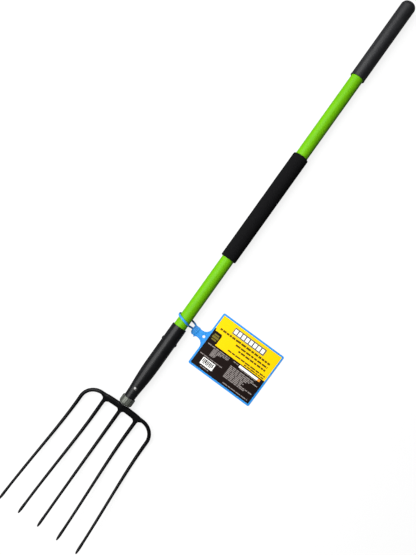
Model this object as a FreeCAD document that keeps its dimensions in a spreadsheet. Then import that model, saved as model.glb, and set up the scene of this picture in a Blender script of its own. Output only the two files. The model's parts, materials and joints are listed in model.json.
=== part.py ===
import FreeCAD, Part
import math
import os

import Sketcher
from FreeCAD import Placement, Rotation, Vector

# A long-handled five-tine fork lying on its back, tine points up. Millimetres.
# +X runs along the handle from the tines to the end grip, +Z is up and z = 0 is the ground.
# The handle's axis is parallel to X. The hang tag lies on the ground on the -Y side.

DIMENSIONS = {
    "total_length": 1524,
    # stretches of the handle, from its end down to the head
    "end_grip_length": 222,
    "upper_shaft": 233,
    "foam_length": 302,
    "lower_shaft": 201,
    "socket_length": 209,
    "collar_length": 21,
    # handle tube and what closes it
    "tube_radius": 16,
    "tube_wall": 3,
    "glue_gap": 0.05,
    "plug_length": 25,
    "plug_flange": 2,
    "core_length": 100,
    # grips
    "foam_radius": 20.5,
    "foam_edge": 2.5,
    "grip_radius": 18.7,
    "grip_lip": 0.4,
    "grip_lip_length": 3,
    "grip_end_wall": 12,
    "grip_dome": 13,
    # socket
    "socket_radius": 19,
    "socket_rim": 0.8,
    "socket_bore_depth": 106,
    "socket_straight": 107.5,
    "socket_low_radius": 13.8,
    "waist_height": 35,
    "waist_radius": 15.9,
    "shoulder_curve": 734,
    "waist_curve": 547,
    "spigot_radius": 11.9,
    # collar
    "collar_radius": 17.2,
    "collar_floor": 2.2,
    "collar_round": 7,
    # rivets
    "tang_rivet_height": 28,
    "tang_rivet_radius": 2.5,
    "tang_head_radius": 4.9,
    "tang_head_height": 2.8,
    "tang_seat": 14.4,
    "peened_radius": 3.8,
    "peened_height": 1.5,
    "washer_radius": 6,
    "washer_thickness": 1,
    "cross_rivet_depth": 43.5,
    "cross_rivet_radius": 3,
    "cross_head_radius": 5,
    "cross_head_height": 2.9,
    "cross_seat": 18,
    # head
    "tang_length": 170,
    "tang_root_radius": 6.2,
    "tang_end_radius": 4.3,
    "hub_radius": 14.5,
    "hub_height": 9.5,
    "hub_neck": 1.2,
    "crossbar_half_length": 53,
    "crossbar_height": 15.6,
    "crossbar_drop": 2.6,
    "crossbar_thickness": 10,
    "crossbar_edge": 3.8,
    "tine_root_radius": 4.9,
    "tine_end_radius": 3.2,
    "tine_swell": 0.25,
    "tine_point": 14,
    "point_radius": 0.8,
    "belly_distance": 100,
    "belly_curve": 390,
    "belly_clear": 0.1,
    "arm_setback": 1.3,
    "arm_overlap": 7,
    "corner_curve": 38.6,
    "outer_root": 97.7,
    "outer_tip": 109.6,
    "inner_root": 46.2,
    "inner_tip": 54.6,
    # hang tag
    "tag_turn": 0.9,
    "tag_length": 222.5,
    "tag_width": 183,
    "tag_height": 149.5,
    "tag_thickness": 1.2,
    "tag_corner": 4,
    "neck_along": -182.8,
    "neck_tip": 28.3,
    "neck_half_width": 12,
    "neck_curve": 19,
    "neck_above_low_edge": 73,
    "hole_from_tip": 33.8,
    "hole_radius": 3.6,
    "nub_from_tip": 13.5,
    "nub_width": 2.4,
    "nub_length": 3.5,
    "label_border": 4.6,
    "label_thickness": 0.5,
    "label_gap": 0.1,
    "strap_width": 4.8,
    "strap_thickness": 1,
    "loop_radius": 18.6,
    "loop_offset": 1.6,
    "strap_reach": 2.5,
    "front_strand": -183.5,
    "back_strand": -173.8,
    "strap_turn": -169.5,
}

doc = FreeCAD.newDocument("five_tine_fork")
sheet = doc.addObject("Spreadsheet::Sheet", "dims")
for row, (alias, size) in enumerate(DIMENSIONS.items(), start=1):
    sheet.set(f"A{row}", alias)
    sheet.set(f"B{row}", str(size))
    sheet.setAlias(f"B{row}", alias)
doc.recompute()

# Places along the handle and beside it, as expressions on the sheet.
HANDLE_END = "(dims.total_length / 2)"
GRIP_LOW = f"({HANDLE_END} - dims.end_grip_length)"
FOAM_LOW = f"({GRIP_LOW} - dims.upper_shaft - dims.foam_length)"
SOCKET_TOP = f"({FOAM_LOW} - dims.lower_shaft)"
SOCKET_LOW = f"({SOCKET_TOP} - dims.socket_length)"
COLLAR_LOW = f"({SOCKET_LOW} - dims.collar_length)"
TUBE_LOW = f"({SOCKET_TOP} - dims.socket_bore_depth)"
TUBE_HIGH = f"({HANDLE_END} - dims.grip_end_wall - dims.plug_flange)"
TANG_RIVET = f"({SOCKET_LOW} + dims.tang_rivet_height)"
CROSS_RIVET = f"({SOCKET_TOP} - dims.cross_rivet_depth)"
BORE_RADIUS = "(dims.tube_radius - dims.tube_wall)"
SLEEVE_BORE = "(dims.tube_radius + dims.glue_gap)"
HANDLE_Z = "dims.foam_radius"
# The ground plan is centred on the origin, so the handle stands off it by half the difference
# between the tag's reach on one side and the outer tine's on the other.
TAG_REACH = ("(dims.neck_tip + dims.tag_length * cos(dims.tag_turn)"
             " + (dims.tag_height - dims.neck_above_low_edge) * sin(dims.tag_turn))")
HANDLE_Y = f"(({TAG_REACH} - dims.outer_tip - dims.tine_end_radius - dims.tine_swell) / 2)"


def number(expression):
    """What an expression on the sheet comes to."""
    found = sheet.evalExpression(str(expression))
    return float(getattr(found, "Value", found))


def place(piece, x, y, z, rotation=None):
    """Bind a piece's position to the sheet and set its turn."""
    piece.Placement = Placement(Vector(number(x), number(y), number(z)), rotation or Rotation())
    for axis, expression in (("x", x), ("y", y), ("z", z)):
        piece.setExpression(f"Placement.Base.{axis}", str(expression))


def origin_plane(body, role):
    return next(item for item in body.Origin.OriginFeatures if item.Role == role)


def outline_sketch(body, name, corners, plane="XY_Plane"):
    """A closed outline on one of the body's planes. Each corner is (x, y) as expressions, with a
    third entry, the arc's radius, where the side that starts there is an arc. A positive radius
    bulges to the left of the way round."""
    sketch = body.newObject("Sketcher::SketchObject", name)
    sketch.AttachmentSupport = (origin_plane(body, plane), "")
    sketch.MapMode = "FlatFace"
    points = [Vector(number(corner[0]), number(corner[1]), 0) for corner in corners]
    ends = []
    for index, corner in enumerate(corners):
        start, stop = points[index], points[(index + 1) % len(points)]
        if len(corner) == 2:
            sketch.addGeometry(Part.LineSegment(start, stop))
            ends.append((1, 2))
            continue
        radius = number(corner[2])
        chord = stop - start
        rise = math.copysign(math.sqrt(radius**2 - (chord.Length / 2) ** 2), radius)
        centre = (start + stop) / 2 - Vector(-chord.y, chord.x, 0).normalize() * rise
        first, last = (stop, start) if radius > 0 else (start, stop)
        low, high = (math.atan2(point.y - centre.y, point.x - centre.x) for point in (first, last))
        if high < low:
            high += 2 * math.pi
        circle = Part.Circle(centre, Vector(0, 0, 1), abs(radius))
        sketch.addGeometry(Part.ArcOfCircle(circle, low, high))
        ends.append((2, 1) if radius > 0 else (1, 2))
        row = sketch.addConstraint(Sketcher.Constraint("Radius", index, abs(radius)))
        sketch.setExpression(f"Constraints[{row}]", f"abs({corner[2]})")
    for index, corner in enumerate(corners):
        after = (index + 1) % len(corners)
        joined = Sketcher.Constraint("Coincident", index, ends[index][1], after, ends[after][0])
        sketch.addConstraint(joined)
        for kind, expression, axis in (("DistanceX", corner[0], -2), ("DistanceY", corner[1], -1)):
            if number(expression) == 0:
                on_axis = Sketcher.Constraint("PointOnObject", index, ends[index][0], axis)
                sketch.addConstraint(on_axis)
                continue
            distance = Sketcher.Constraint(kind, -1, 1, index, ends[index][0], number(expression))
            row = sketch.addConstraint(distance)
            sketch.setExpression(f"Constraints[{row}]", str(expression))
    return sketch


def turned_body(name, corners):
    """A body turned about its own X axis from a closed outline of (distance, radius) corners."""
    body = doc.addObject("PartDesign::Body", name)
    sketch = outline_sketch(body, name + "_outline", corners)
    turning = body.newObject("PartDesign::Revolution", name + "_turned")
    turning.Profile = (sketch, [""])
    turning.ReferenceAxis = (sketch, ["H_Axis"])
    turning.Angle = 360
    doc.recompute()
    return body


def rounded(body, distance, radius, size):
    """Round the body's circular edge at a distance along its X axis that has the given radius."""
    before = body.Tip
    chosen = [
        f"Edge{row}"
        for row, edge in enumerate(before.Shape.Edges, start=1)
        if isinstance(edge.Curve, Part.Circle)
        and abs(edge.Curve.Center.x - number(distance)) < 0.01
        and abs(edge.Curve.Radius - number(radius)) < 0.01
    ]
    fillet = body.newObject("PartDesign::Fillet", f"{body.Name}_round")
    fillet.Base = (before, chosen)
    fillet.setExpression("Radius", size)
    doc.recompute()


def cylinder(name, radius, length, x, y, z, rotation):
    """A round bar or drill. It starts at (x, y, z) and runs along its turned Z axis."""
    bar = doc.addObject("Part::Cylinder", name)
    bar.setExpression("Radius", str(radius))
    bar.setExpression("Height", str(length))
    place(bar, x, y, z, rotation)
    return bar


def drilled(name, base, drills):
    """The finished piece: a base less each of its drills, under the name of its file."""
    for row, drill in enumerate(drills):
        cut = doc.addObject("Part::Cut", f"{name}_cut_{row}")
        cut.Base = base
        cut.Tool = drill
        base = cut
    return finished(name, base)


def finished(name, piece):
    piece.Label = name
    pieces.append(piece)
    return piece


pieces = []
ALONG_X = Rotation(Vector(0, 1, 0), 90)
ALONG_Y = Rotation(Vector(1, 0, 0), -90)
UPWARD = Rotation(Vector(0, 1, 0), -90)
ACROSS = Rotation(Vector(0, 0, 1), 90)


def cross_drill(name):
    """The hole for the rivet that crosses the socket from side to side."""
    low = f"{HANDLE_Y} - 2 * dims.socket_radius"
    return cylinder(name, "dims.cross_rivet_radius + dims.glue_gap", "4 * dims.socket_radius",
                    CROSS_RIVET, low, HANDLE_Z, ALONG_Y)


def tang_bore(name):
    """The tapered hole that takes the tang."""
    cone = doc.addObject("Part::Cone", name)
    cone.setExpression("Radius1", "dims.tang_root_radius + dims.glue_gap")
    cone.setExpression("Radius2", "dims.tang_end_radius + dims.glue_gap")
    cone.setExpression("Height", "dims.tang_length")
    place(cone, COLLAR_LOW, HANDLE_Y, HANDLE_Z, ALONG_X)
    return cone


# Handle ------------------------------------------------------------------------------------

def make_handle_tube():
    outer = cylinder("tube_outside", "dims.tube_radius", f"{TUBE_HIGH} - {TUBE_LOW}",
                     TUBE_LOW, HANDLE_Y, HANDLE_Z, ALONG_X)
    inner = cylinder("tube_inside", BORE_RADIUS, f"{TUBE_HIGH} - {TUBE_LOW}",
                     TUBE_LOW, HANDLE_Y, HANDLE_Z, ALONG_X)
    drilled("handle_tube", outer, [inner, cross_drill("tube_cross_hole")])


def make_core_plug():
    core = cylinder("core_round", f"{BORE_RADIUS} - dims.glue_gap", "dims.core_length",
                    TUBE_LOW, HANDLE_Y, HANDLE_Z, ALONG_X)
    drilled("core_plug", core, [tang_bore("core_tang_bore"), cross_drill("core_cross_hole")])


def make_tube_plug():
    plug = turned_body("tube_plug", [
        (0, 0),
        (0, f"{BORE_RADIUS} - dims.glue_gap"),
        ("dims.plug_length", f"{BORE_RADIUS} - dims.glue_gap"),
        ("dims.plug_length", "dims.tube_radius"),
        ("dims.plug_length + dims.plug_flange", "dims.tube_radius"),
        ("dims.plug_length + dims.plug_flange", 0),
    ])
    place(plug, f"{TUBE_HIGH} - dims.plug_length", HANDLE_Y, HANDLE_Z)
    finished("tube_plug", plug)


def make_foam_grip():
    grip = turned_body("foam_grip", [
        (0, SLEEVE_BORE),
        (0, "dims.foam_radius"),
        ("dims.foam_length", "dims.foam_radius"),
        ("dims.foam_length", SLEEVE_BORE),
    ])
    rounded(grip, 0, "dims.foam_radius", "dims.foam_edge")
    rounded(grip, "dims.foam_length", "dims.foam_radius", "dims.foam_edge")
    place(grip, FOAM_LOW, HANDLE_Y, HANDLE_Z)
    finished("foam_grip", grip)


def make_end_grip():
    depth = "dims.end_grip_length - dims.grip_end_wall"
    grip = turned_body("end_grip", [
        (0, SLEEVE_BORE),
        (0, "dims.grip_radius + dims.grip_lip"),
        ("dims.grip_lip_length", "dims.grip_radius + dims.grip_lip"),
        ("dims.grip_lip_length + dims.grip_lip", "dims.grip_radius"),
        ("dims.end_grip_length", "dims.grip_radius"),
        ("dims.end_grip_length", 0),
        (depth, 0),
        (depth, SLEEVE_BORE),
    ])
    rounded(grip, "dims.end_grip_length", "dims.grip_radius", "dims.grip_dome")
    place(grip, GRIP_LOW, HANDLE_Y, HANDLE_Z)
    finished("end_grip", grip)


# Socket, collar and rivets -----------------------------------------------------------------

# How much of a rivet head's height its rounded edge takes.
DOMED = 0.85


def make_socket():
    """A tapered sleeve: deep bore for the tube at the top, solid round the tang below, and a
    spigot at the bottom that the collar is pressed over."""
    spigot = "(dims.collar_length - dims.collar_floor)"
    top = f"{spigot} + dims.socket_length"
    socket = turned_body("socket_turned", [
        (0, 0),
        (0, "dims.spigot_radius"),
        (spigot, "dims.spigot_radius"),
        (spigot, "dims.socket_low_radius", "-dims.waist_curve"),
        (f"{spigot} + dims.waist_height", "dims.waist_radius", "dims.shoulder_curve"),
        (f"{top} - dims.socket_straight", "dims.socket_radius"),
        (top, "dims.socket_radius"),
        (top, SLEEVE_BORE),
        (f"{top} - dims.socket_bore_depth", SLEEVE_BORE),
        (f"{top} - dims.socket_bore_depth", 0),
    ])
    rounded(socket, top, "dims.socket_radius", "dims.socket_rim")
    place(socket, f"{SOCKET_LOW} - {spigot}", HANDLE_Y, HANDLE_Z)
    reach = "2 * dims.socket_radius"
    high_seat = f"{HANDLE_Z} + dims.tang_seat"
    low_seat = f"{HANDLE_Z} - dims.tang_seat"
    left_seat = f"{HANDLE_Y} + dims.cross_seat"
    right_seat = f"{HANDLE_Y} - dims.cross_seat"
    drilled("socket", socket, [
        tang_bore("socket_tang_bore"),
        cross_drill("socket_cross_hole"),
        cylinder("socket_rivet_hole", "dims.tang_rivet_radius + dims.glue_gap", f"2 * {reach}",
                 TANG_RIVET, HANDLE_Y, f"{HANDLE_Z} - {reach}", Rotation()),
        cylinder("head_seat", "dims.tang_head_radius + dims.glue_gap", reach,
                 TANG_RIVET, HANDLE_Y, high_seat, Rotation()),
        cylinder("washer_seat", "dims.washer_radius + dims.glue_gap", reach,
                 TANG_RIVET, HANDLE_Y, f"{low_seat} - {reach}", Rotation()),
        cylinder("left_seat", "dims.cross_head_radius + dims.glue_gap", reach,
                 CROSS_RIVET, left_seat, HANDLE_Z, ALONG_Y),
        cylinder("right_seat", "dims.cross_head_radius + dims.glue_gap", reach,
                 CROSS_RIVET, f"{right_seat} - {reach}", HANDLE_Z, ALONG_Y),
    ])


def make_collar_ring():
    collar = turned_body("collar_ring", [
        (0, "dims.tang_root_radius + 2 * dims.glue_gap"),
        (0, "dims.collar_radius"),
        ("dims.collar_length", "dims.collar_radius"),
        ("dims.collar_length", "dims.spigot_radius + dims.glue_gap"),
        ("dims.collar_floor", "dims.spigot_radius + dims.glue_gap"),
        ("dims.collar_floor", "dims.tang_root_radius + 2 * dims.glue_gap"),
    ])
    rounded(collar, 0, "dims.collar_radius", "dims.collar_round")
    place(collar, COLLAR_LOW, HANDLE_Y, HANDLE_Z)
    finished("collar_ring", collar)


def make_tang_rivet():
    """Domed head on top, shank through socket and tang, peened over the washer underneath."""
    shank_low = "dims.peened_height"
    head_low = f"{shank_low} + dims.washer_thickness + 2 * dims.tang_seat"
    head_high = f"{head_low} + dims.tang_head_height"
    rivet = turned_body("tang_rivet", [
        (0, 0),
        (0, "dims.peened_radius"),
        (shank_low, "dims.peened_radius"),
        (shank_low, "dims.tang_rivet_radius"),
        (head_low, "dims.tang_rivet_radius"),
        (head_low, "dims.tang_head_radius"),
        (head_high, "dims.tang_head_radius"),
        (head_high, 0),
    ])
    rounded(rivet, 0, "dims.peened_radius", f"dims.peened_height * {DOMED}")
    rounded(rivet, head_high, "dims.tang_head_radius", f"dims.tang_head_height * {DOMED}")
    low = f"{HANDLE_Z} - dims.tang_seat - dims.washer_thickness - dims.peened_height"
    place(rivet, TANG_RIVET, HANDLE_Y, low, UPWARD)
    finished("tang_rivet", rivet)


def make_rivet_washer():
    low = f"{HANDLE_Z} - dims.tang_seat - dims.washer_thickness"
    disc = cylinder("washer_disc", "dims.washer_radius", "dims.washer_thickness",
                    TANG_RIVET, HANDLE_Y, low, Rotation())
    hole = cylinder("washer_hole", "dims.tang_rivet_radius + dims.glue_gap",
                    "dims.washer_thickness", TANG_RIVET, HANDLE_Y, low, Rotation())
    drilled("rivet_washer", disc, [hole])


def make_socket_rivet():
    """A shank across the socket with a low domed head at each end."""
    head_low = "dims.cross_head_height + 2 * dims.cross_seat"
    head_high = f"{head_low} + dims.cross_head_height"
    rivet = turned_body("socket_rivet", [
        (0, 0),
        (0, "dims.cross_head_radius"),
        ("dims.cross_head_height", "dims.cross_head_radius"),
        ("dims.cross_head_height", "dims.cross_rivet_radius"),
        (head_low, "dims.cross_rivet_radius"),
        (head_low, "dims.cross_head_radius"),
        (head_high, "dims.cross_head_radius"),
        (head_high, 0),
    ])
    rounded(rivet, 0, "dims.cross_head_radius", f"dims.cross_head_height * {DOMED}")
    rounded(rivet, head_high, "dims.cross_head_radius", f"dims.cross_head_height * {DOMED}")
    low = f"{HANDLE_Y} - dims.cross_seat - dims.cross_head_height"
    place(rivet, CROSS_RIVET, low, HANDLE_Z, ACROSS)
    finished("socket_rivet", rivet)


# Head --------------------------------------------------------------------------------------

COLLAR_X = number(COLLAR_LOW)
CROSSBAR_X = COLLAR_X - number("dims.hub_neck + dims.crossbar_height / 2")
HANDLE_AT = Vector(0, number(HANDLE_Y), number(HANDLE_Z))
# The tip's flat nose leans back, so the tine's centre line stops short of the overall length.
TIP_DISTANCE = CROSSBAR_X + number("dims.total_length / 2")
TIP_LEAN = (TIP_DISTANCE - number("dims.belly_distance")) / number("dims.belly_curve")
TINE_RUN = TIP_DISTANCE - number("dims.point_radius") * TIP_LEAN


def eased(share):
    """A smooth step from 0 to 1."""
    share = min(max(share, 0), 1)
    return share * share * (3 - 2 * share)


TAPER_POWER = 1.6
# Shares of the way down a tine: where the inner tines start to spread, and where a tine is as
# thick as the arms that join the outer ones to the crossbar.
SPREAD_START = 0.15
ARM_SHARE = 0.12
ROOT_SHARES = [0, 0.03, 0.06]
ROOT_FLARE = 1.5
CORNER_STEPS = 6
CLEAR_OF_CORNER = 0.05


def tine_radius(share):
    """A tine's radius at a share of its way from the crossbar to the tip: an even taper, a slight
    swell where the point was drawn, and a round-nosed point."""
    root, thin = number("dims.tine_root_radius"), number("dims.tine_end_radius")
    point, nose = number("dims.tine_point"), number("dims.point_radius")
    swell = number("dims.tine_swell")
    points_left = TINE_RUN * (1 - share) / point
    if points_left < 1:
        return nose + (thin + swell - nose) * math.sqrt(1 - (1 - points_left) ** 2)
    taper = thin + (root - thin) * (1 - share) ** TAPER_POWER
    return taper + swell * eased(2 - points_left)


def tine_height(share):
    """Height of the tines' centre line: an arc that touches the ground behind the crossbar and
    lifts the tips."""
    curve, belly = number("dims.belly_curve"), number("dims.belly_distance")
    lowest = tine_radius(belly / TINE_RUN) + number("dims.belly_clear")
    along = share * TINE_RUN - belly
    return lowest + curve - math.sqrt(curve**2 - along**2)


def on_tine(share, spread):
    """The point at a share of the way down the tines, at a distance beside the middle one."""
    return Vector(CROSSBAR_X - share * TINE_RUN, HANDLE_AT.y + spread, tine_height(share))


def round_section(centre, direction, radius):
    """A circle across a path, its seam kept on the same side so that a loft doesn't twist."""
    side = Vector(0, 0, 1).cross(direction).normalize()
    up = direction.cross(side)
    circle = Part.makeCircle(radius)
    circle.Placement = Placement(centre, Rotation(side, up, direction, "ZXY"))
    return Part.Wire([circle])


def lofted(centres, radii):
    """A smooth round bar through centres with a radius at each."""
    sections = []
    for row, centre in enumerate(centres):
        before = centres[max(row - 1, 0)]
        after = centres[min(row + 1, len(centres) - 1)]
        sections.append(round_section(centre, (after - before).normalize(), radii[row]))
    return Part.makeLoft(sections, True, False)


def tine_shares():
    """Stations down a tine, close together where the point is turned."""
    even = [row / 10 for row in range(1, 10)]
    point = number("dims.tine_point") / TINE_RUN
    return even + [1 - point * nearness for nearness in (1.9, 1.45, 1, 0.6, 0.25, 0.06, 0)]


def inner_tine(side):
    """A straight-rooted tine; side is -1, 0 or 1. Its root swells into the crossbar."""
    root, tip = number("dims.inner_root"), number("dims.inner_tip")
    centres, radii = [], []
    for share in ROOT_SHARES + tine_shares():
        spreading = eased((share - SPREAD_START) / (1 - SPREAD_START))
        centres.append(on_tine(share, side * (root + (tip - root) * spreading)))
        radii.append(tine_radius(share) * (ROOT_FLARE if share == 0 else 1))
    return lofted(centres, radii)


def outer_tine(side):
    """A tine that leaves the crossbar's end, turns a round corner and runs down the side."""
    curve, start = number("dims.corner_curve"), number("dims.outer_root")
    tip = number("dims.outer_tip")
    arm, half_bar = number("dims.arm_setback"), number("dims.crossbar_half_length")
    corner = arm + curve
    flat = [(arm, half_bar - number("dims.arm_overlap")), (arm, half_bar)]
    for row in range(CORNER_STEPS + 1):
        turn = math.pi / 2 * row / CORNER_STEPS
        flat.append((corner - curve * math.cos(turn), start - curve + curve * math.sin(turn)))
    corner_share = corner / TINE_RUN
    for share in tine_shares():
        if share > corner_share + CLEAR_OF_CORNER:
            spreading = eased((share - corner_share) / (1 - corner_share))
            flat.append((share * TINE_RUN, start + (tip - start) * spreading))
    centres = [on_tine(down / TINE_RUN, side * spread) for down, spread in flat]
    radii = [tine_radius(max(down / TINE_RUN, ARM_SHARE)) for down, _ in flat]
    return lofted(centres, radii)


def crossbar():
    """A rounded flat bar, bowed slightly away from the handle at its ends and tilted to lie along
    the tines' first stretch."""
    half, height = number("dims.crossbar_half_length"), number("dims.crossbar_height")
    drop, thick = number("dims.crossbar_drop"), number("dims.crossbar_thickness")
    upper, lower = height / 2, -height / 2
    corners = [
        Vector(upper - drop, -half, 0),
        Vector(upper - drop, half, 0),
        Vector(lower - drop, half, 0),
        Vector(lower - drop, -half, 0),
    ]
    sides = [
        Part.Arc(corners[0], Vector(upper, 0, 0), corners[1]),
        Part.LineSegment(corners[1], corners[2]),
        Part.Arc(corners[2], Vector(lower, 0, 0), corners[3]),
        Part.LineSegment(corners[3], corners[0]),
    ]
    wire = Part.Wire([side.toShape() for side in sides])
    bar = Part.Face(wire).extrude(Vector(0, 0, thick))
    bar.translate(Vector(0, 0, -thick / 2))
    long_edges = [edge for edge in bar.Edges if edge.Length > half]
    bar = bar.makeFillet(number("dims.crossbar_edge"), long_edges)
    slope = math.degrees(math.asin(number("dims.belly_distance / dims.belly_curve")))
    bar.rotate(Vector(0, 0, 0), Vector(0, 1, 0), -slope)
    bar.translate(HANDLE_AT + Vector(CROSSBAR_X, 0, tine_height(0) - HANDLE_AT.z))
    return bar


def make_fork_head():
    at_collar = HANDLE_AT + Vector(COLLAR_X, 0, 0)
    along = Vector(1, 0, 0)
    hub_radius, hub_height = number("dims.hub_radius"), number("dims.hub_height")
    hub = Part.makeCone(hub_radius, hub_radius / 3, hub_height, at_collar, -along)
    root, end = number("dims.tang_root_radius"), number("dims.tang_end_radius")
    tang = Part.makeCone(root, end, number("dims.tang_length"), at_collar, along)
    rivet_at = HANDLE_AT + Vector(number(TANG_RIVET), 0, 0) - Vector(0, 0, 2 * root)
    hole = Part.makeCylinder(number("dims.tang_rivet_radius + dims.glue_gap"), 4 * root, rivet_at)
    tines = [inner_tine(side) for side in (-1, 0, 1)] + [outer_tine(side) for side in (-1, 1)]
    head = crossbar().fuse([hub, tang] + tines).cut(hole).removeSplitter()
    feature = doc.addObject("Part::Feature", "fork_head")
    feature.Shape = head
    feature.Placement = Placement()
    finished("fork_head", feature)


# Hang tag ----------------------------------------------------------------------------------

def place_on_tag(piece, x, y, z):
    """Place a piece at a point of the tag's own plane, whose origin is the panel's far lower
    corner. The tag is turned slightly about its neck's tip, which stays beside the handle."""
    cos, sin = "cos(dims.tag_turn)", "sin(dims.tag_turn)"
    from_neck = f"({x} - dims.neck_above_low_edge)"
    from_tip = f"({y} - dims.tag_length)"
    place(piece,
          f"dims.neck_along + {from_neck} * {cos} + {from_tip} * {sin}",
          f"{HANDLE_Y} - dims.neck_tip - {from_neck} * {sin} + {from_tip} * {cos}",
          z, Rotation(Vector(0, 0, 1), -number("dims.tag_turn")))


def make_tag_frame():
    """A rounded panel with a necked-down tab that points at the handle."""
    neck, half = "dims.neck_above_low_edge", "dims.neck_half_width"
    tip, curve = "dims.tag_length", "dims.neck_curve"
    nub = "dims.tag_length - dims.nub_from_tip"
    frame = doc.addObject("PartDesign::Body", "tag_frame_body")
    outline = outline_sketch(frame, "tag_outline", [
        (0, 0),
        ("dims.tag_height", 0),
        ("dims.tag_height", "dims.tag_width"),
        (f"{neck} + {half} + {curve}", "dims.tag_width", f"-{curve}"),
        (f"{neck} + {half}", f"dims.tag_width + {curve}"),
        (f"{neck} + {half}", tip),
        (f"{neck} - {half}", tip),
        (f"{neck} - {half}", f"{nub} + dims.nub_width"),
        (f"{neck} - {half} - dims.nub_length", nub),
        (f"{neck} - {half}", f"{nub} - dims.nub_width"),
        (f"{neck} - {half}", f"dims.tag_width + {curve}", f"-{curve}"),
        (f"{neck} - {half} - {curve}", "dims.tag_width"),
        (0, "dims.tag_width"),
    ])
    pad = frame.newObject("PartDesign::Pad", "tag_pad")
    pad.Profile = (outline, [""])
    pad.setExpression("Length", "dims.tag_thickness")
    doc.recompute()
    across = number("dims.tag_height")
    corners = [
        f"Edge{row}"
        for row, edge in enumerate(pad.Shape.Edges, start=1)
        if abs(edge.BoundBox.ZLength - edge.Length) < 0.01
        and min(edge.BoundBox.XMin, abs(edge.BoundBox.XMin - across)) < 0.01
    ]
    fillet = frame.newObject("PartDesign::Fillet", "tag_corners")
    fillet.Base = (pad, corners)
    fillet.setExpression("Radius", "dims.tag_corner")
    doc.recompute()
    place_on_tag(frame, 0, 0, 0)
    hole = cylinder("tag_hole", "dims.hole_radius", "dims.tag_thickness", 0, 0, 0, Rotation())
    place_on_tag(hole, neck, f"{tip} - dims.hole_from_tip", 0)
    recess = label_box("tag_recess", "dims.label_border")
    drilled("tag_frame", frame, [hole, recess])


def label_box(name, border):
    """The printed sheet's size, at a given distance inside the tag's edges."""
    box = doc.addObject("Part::Box", name)
    box.setExpression("Length", f"dims.tag_height - 2 * ({border})")
    box.setExpression("Width", f"dims.tag_width - 2 * ({border})")
    box.setExpression("Height", "dims.label_thickness")
    place_on_tag(box, f"({border})", f"({border})", "dims.tag_thickness - dims.label_thickness")
    return box


def make_tag_label():
    finished("tag_label", label_box("label_sheet", "dims.label_border + dims.label_gap"))


LOOP_STEPS = 18


def make_tag_strap():
    """A flat band from the neck over the handle, round its far side and back underneath. In the
    handle's cross-section it is an arc with two tangents that meet at the neck."""
    width, thick = number("dims.strap_width"), number("dims.strap_thickness")
    radius, offset = number("dims.loop_radius"), number("dims.loop_offset")
    hinge = Vector(0, -number("dims.neck_tip"), number("dims.tag_thickness") / 2 - HANDLE_AT.z)
    centre = Vector(0, offset, 0)
    away = hinge - centre
    facing = math.atan2(away.z, away.y)
    half_turn = math.acos(radius / away.Length)
    first, last = facing - half_turn, facing - 2 * math.pi + half_turn
    path = []
    for row in range(LOOP_STEPS + 1):
        angle = first + (last - first) * row / LOOP_STEPS
        path.append(centre + Vector(0, math.cos(angle), math.sin(angle)) * radius)
    reach = number("dims.strap_reach")
    path.insert(0, hinge + (path[0] - hinge).normalize() * reach)
    path.append(hinge + (path[-1] - hinge).normalize() * reach)
    names = ("front_strand", "back_strand", "strap_turn")
    front, back, turn = (number(f"dims.{name}") for name in names)
    sections = []
    for row, point in enumerate(path):
        share = row / (len(path) - 1)
        if share < 0.5:
            skew = front + (turn - front) * eased(2 * share)
        else:
            skew = turn + (back - turn) * eased(2 * share - 1)
        before, after = path[max(row - 1, 0)], path[min(row + 1, len(path) - 1)]
        along = (after - before).normalize()
        out = along.cross(Vector(1, 0, 0))
        middle = HANDLE_AT + point + Vector(skew, 0, 0)
        edge_points = [
            middle + Vector(x * width / 2, 0, 0) + out * (y * thick / 2)
            for x, y in ((-1, -1), (1, -1), (1, 1), (-1, 1), (-1, -1))
        ]
        sections.append(Part.makePolygon(edge_points))
    feature = doc.addObject("Part::Feature", "tag_strap")
    feature.Shape = Part.makeLoft(sections, True, True)
    feature.Placement = Placement()
    finished("tag_strap", feature)


make_fork_head()
make_collar_ring()
make_socket()
make_core_plug()
make_tang_rivet()
make_rivet_washer()
make_socket_rivet()
make_handle_tube()
make_tube_plug()
make_foam_grip()
make_end_grip()
make_tag_frame()
make_tag_label()
make_tag_strap()
doc.recompute()

for item in doc.Objects:
    if "Invalid" in item.State or "Error" in item.State:
        raise RuntimeError(f"{item.Name} failed: {item.State}")
os.makedirs("parts", exist_ok=True)
for piece in pieces:
    if piece.Shape.isNull() or not piece.Shape.isValid():
        raise RuntimeError(f"{piece.Label} has no valid shape")
    piece.Shape.exportStep(f"parts/{piece.Label}.step")
    box = piece.Shape.optimalBoundingBox()
    print(f"{piece.Label}: {len(piece.Shape.Solids)} solid, {piece.Shape.Volume:.0f} mm3, "
          f"x {box.XMin:.2f} to {box.XMax:.2f}, y {box.YMin:.2f} to {box.YMax:.2f}, "
          f"z {box.ZMin:.2f} to {box.ZMax:.2f}")
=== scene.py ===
import json
import math
import random

import bmesh
import bpy
from mathutils import Matrix, Vector, noise


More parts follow.
